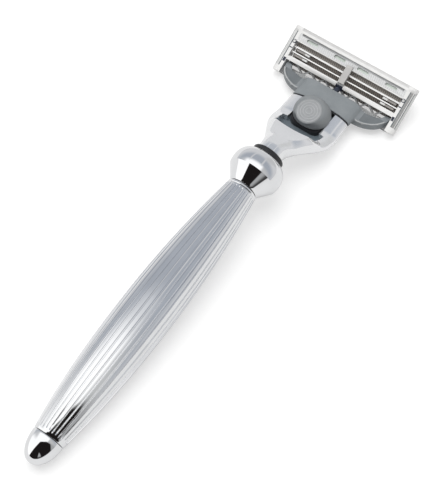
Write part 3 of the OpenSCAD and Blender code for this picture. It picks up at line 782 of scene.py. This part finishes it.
def connector():
    """The connector with its fillets, all edges softened, painted shade on the arms' tops and a painted
    highlight on their rims.
    """
    plain, dark, light = range(3)
    voxel, softening = 0.13, 5
    arm_x, arm_front, arm_top, upward = 10.2, 8.2, -0.2, 0.35
    rim_centre, rim_radii, rim_from = (9.8, 9.8), (8.5, 6.6), 0.9
    bm = local_copy("connector", DOCK)
    for side in (-1, 1):
        extra = fillet(side)
        mesh = bpy.data.meshes.new("fillet")
        extra.to_mesh(mesh)
        extra.free()
        bm.from_mesh(mesh)
    mesh = bpy.data.meshes.new("connector_blank")
    bm.to_mesh(mesh)
    bm.free()
    mesh = applied(
        mesh,
        ("REMESH", {"mode": "VOXEL", "voxel_size": voxel, "adaptivity": 0.0}),
        ("SMOOTH", {"factor": 0.5, "iterations": softening}),
    )
    bm = bmesh.new()
    bm.from_mesh(mesh)
    for face in bm.faces:
        x, s, n = face.calc_center_median()
        across = (abs(x) - rim_centre[0]) / rim_radii[0]
        along = (s - rim_centre[1]) / rim_radii[1]
        # Upward faces of the arms: painted highlight on the rim, painted shade on the lower tops
        if abs(x) > arm_x and s < arm_front and face.normal.z > upward:
            rim = across ** 2 + along ** 2 > rim_from
            face.material_index = light if rim else dark if n < arm_top else plain
    make_piece(
        "cartridge_bridge", bm, "connector",
        [CONNECTOR_PLASTIC, PAINTED_SHADE_PLASTIC, RIM_HIGHLIGHT_PLASTIC], ["connector"], sharp=60, place=DOCK,
    )


def housing_zone(x, v, h):
    """The finish of a face of the housing, by its place in the blade unit, painted highlight and painted
    shade among them.
    """
    silver, lip, groove, web, cam, rib = range(6)
    cap_step = CAP_STEP_V[0] < v < CAP_STEP_V[1]
    guard_beam = v < GUARD_V and abs(x) > GUARD_GAP_X
    # Lip and end blocks are the pale plastic's own colour; the tops of the cap step and guard beam get it as
    # a painted highlight
    if abs(x) > END_BLOCK_X or v > LIP_V or (h > TOP_H and (cap_step or guard_beam)):
        return lip
    if abs(x) < RIB_HALF_W and GUARD_V < v < RIB_END_V:
        return rib
    # The groove's floor gets painted shade
    if GROOVE_V < v < LIP_V and GROOVE_H[0] < h < GROOVE_H[1]:
        return groove
    # The web, deep under the cap beam, gets painted shade
    if WEB_V[0] < v < WEB_V[1] and h < WEB_H:
        return web
    # The cam under the guard beam gets painted shade
    if abs(x) < CAM_HALF_W and v < CAM_V and h < CAM_H:
        return cam
    return silver


def cartridge_housing():
    """The housing, cut where its finish changes: pale lip and end blocks, a painted highlight on the tops of
    the cap step and guard beam, the rib in its own plastic, and painted shade in the groove, on the web and
    on the cam.
    """
    bm = local_copy("cartridge_housing", UNIT)
    for v in (CAP_STEP_V[1], LIP_V):
        split(bm, (0, v, 0), (0, 1, 0))
    for x in (-END_BLOCK_X, END_BLOCK_X):
        split(bm, (x, 0, 0), (1, 0, 0))
    for face in bm.faces:
        face.material_index = housing_zone(*face.calc_center_median())
    make_piece(
        "blade_frame", bm, "blade_unit",
        [HOUSING_SILVER, LIP_AND_HIGHLIGHT_PLASTIC, GROOVE_SHADE_SILVER, WEB_SHADE_PLASTIC, PLUNGER_AND_SHADE_PLASTIC, RIB_PLASTIC],
        ["cartridge_housing"], sharp=30, place=UNIT,
    )


def end_clips():
    """The rolled end clips, with painted shade where they meet the frame, and a painted highlight and a
    painted dark line of shade along the bend.
    """
    light, dark = 1, 2
    meet_x, light_x, dark_x, dark_end_x, upward = 20.05, 20.76, 20.96, 21.13, 0.3
    for node in ("clip_left", "clip_right"):
        bm = local_copy(node, UNIT)
        for face in bm.faces:
            x = abs(face.calc_center_median().x)
            if face.normal.z < upward:
                continue
            # Painted shade where the clip meets the frame and in the dark line; painted highlight in the
            # light line
            if x < meet_x or dark_x < x < dark_end_x:
                face.material_index = dark
            elif light_x < x < dark_x:
                face.material_index = light
        make_piece(
            f"end_{node}", bm, "blade_unit", [CLIP_METAL, LIP_AND_HIGHLIGHT_PLASTIC, PAINTED_SHADE_PLASTIC], [node],
            sharp=35, place=UNIT,
        )


def end_pins():
    """The round pin in its ring, the slot and the square well on the top of each end of the blade unit, the
    ring, slot and well drawn flush with painted shade for their hollows.
    """
    metal, dark = range(2)
    pin_x, pin_v, slot_v, well_v = 19.22, 8.5, 6.4, 2.4
    sunk, flush, proud = 0.2, 0.02, 0.12
    slot_size, well_size = (0.9, 0.3, sunk + flush), (0.8, 1.3, sunk + flush)
    bm = bmesh.new()

    def solid(make, at, rise, index, **sizes):
        """A small solid, sunk into the end, in one finish."""
        lift = Matrix.Translation((*at, (rise - sunk) / 2))
        for vert in make(bm, matrix=lift @ sizes.pop("stretch", Matrix()), **sizes)["verts"]:
            for face in vert.link_faces:
                face.material_index = index

    # Ring, slot and well sit flush: their dark finish is painted shade for their depth
    for side in (-1, 1):
        for radius, rise, index in ((0.64, flush, dark), (0.42, proud, metal)):
            solid(
                bmesh.ops.create_cone, (side * pin_x, pin_v), rise, index, cap_ends=True, segments=32,
                radius1=radius, radius2=radius, depth=rise + sunk,
            )
        for v, size in ((slot_v, slot_size), (well_v, well_size)):
            stretch = Matrix.Diagonal((*size, 1))
            solid(bmesh.ops.create_cube, (side * pin_x, v), flush, dark, size=1, stretch=stretch)
    make_piece("end_pins", bm, "blade_unit", [CLIP_METAL, PLUNGER_AND_SHADE_PLASTIC], place=UNIT)


def blade_supports():
    """The bent supports, with the upper edge of each leg rolled a little wider and given a painted highlight.
    """
    top_h, first_v, pitch, widening = -1.03, 3.98, 1.64, 1.4
    for i in (1, 2, 3):
        leg_v = first_v + pitch * (i - 1)
        bm = local_copy(f"blade_support_{i}", UNIT)
        for vert in bm.verts:
            if vert.co.z > top_h:
                vert.co.y = leg_v + (vert.co.y - leg_v) * widening
        # Faces above top_h carry the painted highlight
        for face in bm.faces:
            face.material_index = int(face.calc_center_median().z > top_h)
        make_piece(
            f"bent_support_{i}", bm, f"blade_{i}", [BLADE_STEEL, EDGE_HIGHLIGHT_STEEL],
            [f"blade_support_{i}"], place=UNIT,
        )


def spring_fingers():
    """The moulded fingers over the supports, in their own light plastic at their tips, with painted shade
    towards their roots.
    """
    tip_x = 14.6
    bm = local_copy("blade_springs", UNIT)
    for x in (-tip_x, tip_x):
        split(bm, (x, 0, 0), (1, 0, 0))
    # Faces beyond tip_x, towards the roots, get painted shade
    for face in bm.faces:
        face.material_index = int(abs(face.calc_center_median().x) > tip_x)
    make_piece(
        "spring_fingers", bm, "blade_unit", [FINGER_PLASTIC, ROOT_SHADE_PLASTIC],
        ["blade_springs"], place=UNIT,
    )


end_cap()
handle_barrel()
neck_bulb()
neck_seal()
head_yoke()
release_button()
button_pad()
connector()
cartridge_housing()
end_clips()
end_pins()
blade_supports()
spring_fingers()

# Nodes that are shown as they are, with their finishes
PLAIN_NODES = {
    "tie_rod": ROD_STEEL,
    "plunger_spring": ROD_STEEL,
    "button_springs": ROD_STEEL,
    "dock_body": DOCK_PLASTIC,
    "button_skirt": DOCK_PLASTIC,
    "button_track": TRACK_PLASTIC,
    "plunger": PLUNGER_AND_SHADE_PLASTIC,
    "lubricating_strip": STRIP_POLYMER,
    "guard_fins": FIN_RUBBER,
    **{f"blade_{i}": BLADE_STEEL for i in (1, 2, 3)},
}
for node, material in PLAIN_NODES.items():
    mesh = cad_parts[node].data
    mesh.materials.clear()
    mesh.materials.append(material)


# Shades of the floor and of the studio that mirrors show
FLOOR_SHADE = 0.62
FLOOR_LIFT = 0.46
MIRROR_LIFT = 0.28
FILL = 0.53
TENT = (1.3, 1.3, 1.3)
BACK_WALL = (0.46, 0.49, 0.545)
SIDE_WALL = (0.74, 0.745, 0.76)
SHADE_WALL = (0.44, 0.445, 0.45)
RIGHT_WALL = (0.64, 0.645, 0.65)
DARK_FRONT = (0.014, 0.012, 0.012)


def seen_rays(tree):
    """Two masks: camera rays, and all rays that show the surroundings, glossy and transmission ones too."""
    path = add(tree, "LightPath")
    bounced = add(tree, "Math", operation="MAXIMUM")
    seen = add(tree, "Math", operation="MAXIMUM")
    tree.links.new(path.outputs["Is Glossy Ray"], bounced.inputs[0])
    tree.links.new(path.outputs["Is Transmission Ray"], bounced.inputs[1])
    tree.links.new(path.outputs["Is Camera Ray"], seen.inputs[0])
    tree.links.new(bounced.outputs[0], seen.inputs[1])
    return path.outputs["Is Camera Ray"], seen.outputs[0]


def make_floor():
    """A plain floor just below the razor, lifted towards white where it is seen, that keeps the shadow."""
    low = 0.05 * MM
    material = bpy.data.materials.new("pale_floor")
    material.use_nodes = True
    tree = material.node_tree
    shader = tree.nodes["Principled BSDF"]
    shader.inputs["Base Color"].default_value = (FLOOR_SHADE, FLOOR_SHADE, FLOOR_SHADE, 1)
    shader.inputs["Roughness"].default_value = 0.9
    shader.inputs["Specular IOR Level"].default_value = 0.0
    camera_ray, seen = seen_rays(tree)
    shader.inputs["Emission Color"].default_value = (1, 1, 1, 1)
    extra = add(tree, "Math", {1: FLOOR_LIFT - MIRROR_LIFT}, operation="MULTIPLY")
    lift = add(tree, "Math", {1: MIRROR_LIFT}, operation="MULTIPLY_ADD")
    tree.links.new(camera_ray, extra.inputs[0])
    tree.links.new(seen, lift.inputs[0])
    tree.links.new(extra.outputs[0], lift.inputs[2])
    tree.links.new(lift.outputs[0], shader.inputs["Emission Strength"])
    bm = bmesh.new()
    bmesh.ops.create_grid(bm, x_segments=1, y_segments=1, size=3)
    bmesh.ops.translate(bm, verts=bm.verts, vec=(0, 0, -low))
    mesh = bpy.data.meshes.new("floor")
    bm.to_mesh(mesh)
    bm.free()
    mesh.materials.append(material)
    floor = bpy.data.objects.new("floor", mesh)
    scene.collection.objects.link(floor)


def make_studio():
    """What mirrors show: a white tent with a grey back, shaded sides and an open dark front."""
    world = bpy.data.worlds.new("studio")
    scene.world = world
    world.use_nodes = True
    tree = world.node_tree
    tree.nodes.clear()
    direction = add(tree, "TexCoord").outputs["Generated"]

    def side(normal, soft, shift=0.0):
        """One on the side of a plane that its normal points to, through the razor or shifted from it."""
        dot = add(tree, "VectorMath", operation="DOT_PRODUCT")
        dot.inputs[1].default_value = Vector(normal).normalized()
        tree.links.new(direction, dot.inputs[0])
        limits = {"From Min": -soft - shift, "From Max": soft - shift}
        edge = add(tree, "MapRange", limits, interpolation_type="SMOOTHSTEP")
        tree.links.new(dot.outputs["Value"], edge.inputs["Value"])
        return edge.outputs["Result"]

    def both(a, b):
        """Where two zones meet."""
        product = add(tree, "Math", operation="MULTIPLY")
        tree.links.new(a, product.inputs[0])
        tree.links.new(b, product.inputs[1])
        return product.outputs[0]

    def paint(under, mask, color):
        """A zone painted over what is there already, which at first is the tent."""
        mix = add(tree, "Mix", data_type="RGBA")
        mix.inputs[6].default_value = (*TENT, 1)
        mix.inputs[7].default_value = (*color, 1)
        tree.links.new(mask, mix.inputs[0])
        if under is not None:
            tree.links.new(under, mix.inputs[6])
        return mix.outputs[2]

    sky = side((0, 0, 1), 0.01)
    back = both(side((0, 1, -0.12), 0.12), sky)
    front = both(side((0, -1, -0.14), 0.04), sky)
    right = both(side((1, 0, -0.6), 0.12), sky)
    left = both(both(side((-1, 0, -1.1), 0.16), sky), side((0, 1, 0.3), 0.1))
    far = both(side((0, 1, -1.05), 0.22), sky)
    view = paint(None, right, RIGHT_WALL)
    view = paint(view, left, SIDE_WALL)
    view = paint(view, back, BACK_WALL)
    for near, wide in ((0.315, 0.12), (-0.68, 0.13)):
        strip = both(side((1, 0, -near), 0.05), side((-1, 0, near + wide), 0.05))
        view = paint(view, both(back, strip), SIDE_WALL)
    view = paint(view, far, SIDE_WALL)
    far_right = both(far, both(side((1, 0, 0), 0.12, -0.15), side((-1.2, 1, 0), 0.15)))
    view = paint(view, far_right, RIGHT_WALL)
    view = paint(view, both(front, right), SHADE_WALL)
    top = both(side((0, -1, -0.175), 0.02), side((0.25, -1, -0.28), 0.02))
    opening = both(both(top, side((1, -0.5, 0), 0.02)), side((0, 0, 1), 0.02, -0.02))
    high = both(side((-0.2, -1, 0.1), 0.03), side((0, 1, 0), 0.03, 0.7))
    low = both(side((0, -1, 0), 0.05, -0.68), side((0, 0, -1), 0.12, 0.19))
    nearest = side((-1.75, -1, 0), 0.03)
    for part in (high, low, nearest):
        view = paint(view, both(opening, part), DARK_FRONT)

    camera_ray, seen = seen_rays(tree)
    tent = add(tree, "Background", {"Strength": 1.0})
    tree.links.new(view, tent.inputs["Color"])
    white = add(tree, "Background", {"Color": (1, 1, 1, 1), "Strength": 1.0})
    fill = add(tree, "Background", {"Color": (1, 1, 1, 1), "Strength": FILL})
    inner = add(tree, "MixShader")
    outer = add(tree, "MixShader")
    end = tree.nodes.new("ShaderNodeOutputWorld")
    tree.links.new(seen, inner.inputs[0])
    tree.links.new(fill.outputs[0], inner.inputs[1])
    tree.links.new(tent.outputs[0], inner.inputs[2])
    tree.links.new(camera_ray, outer.inputs[0])
    tree.links.new(inner.outputs[0], outer.inputs[1])
    tree.links.new(white.outputs[0], outer.inputs[2])
    tree.links.new(outer.outputs[0], end.inputs["Surface"])


# Lamp and camera, in metres and degrees
LAMP_PLACE = Vector((-0.14, 0.06, 1.2))
LAMP_AIM = Vector((0, 0, 0.01))
LAMP_SIZE = 1.0
LAMP_POWER = 9.5
CAMERA_AZIMUTH = 39.385
CAMERA_ELEVATION = 61.009
CAMERA_ROLL = -3.785
CAMERA_AIM = Vector((1.534, 3.613, 0.0)) * MM
CAMERA_DISTANCE = 374.52 * MM
CAMERA_LENS = 95.6
CAMERA_SENSOR = 36


def make_lamp():
    """A large soft lamp that mirrors don't show: the tent already stands for it there."""
    light = bpy.data.lights.new("window_lamp", "AREA")
    light.size = LAMP_SIZE
    light.energy = LAMP_POWER
    lamp = bpy.data.objects.new("window_lamp", light)
    lamp.location = LAMP_PLACE
    lamp.rotation_mode = "QUATERNION"
    lamp.rotation_quaternion = (LAMP_AIM - LAMP_PLACE).to_track_quat("-Z", "Y")
    lamp.visible_glossy = False
    scene.collection.objects.link(lamp)


def make_camera():
    """The view of the photograph."""
    data = bpy.data.cameras.new("photo_view")
    data.lens = CAMERA_LENS
    data.sensor_width = CAMERA_SENSOR
    data.clip_start = 0.01
    camera = bpy.data.objects.new("photo_view", data)
    a, e = math.radians(CAMERA_AZIMUTH), math.radians(CAMERA_ELEVATION)
    back = Vector((math.sin(a) * math.cos(e), -math.cos(a) * math.cos(e), math.sin(e)))
    camera.rotation_mode = "QUATERNION"
    level = (-back).to_track_quat("-Z", "Y")
    camera.rotation_quaternion = level @ Matrix.Rotation(math.radians(CAMERA_ROLL), 3, "Z").to_quaternion()
    camera.location = CAMERA_AIM + back * CAMERA_DISTANCE
    scene.collection.objects.link(camera)
    scene.camera = camera


make_floor()
make_studio()
make_lamp()
make_camera()
scene.view_settings.view_transform = "Standard"
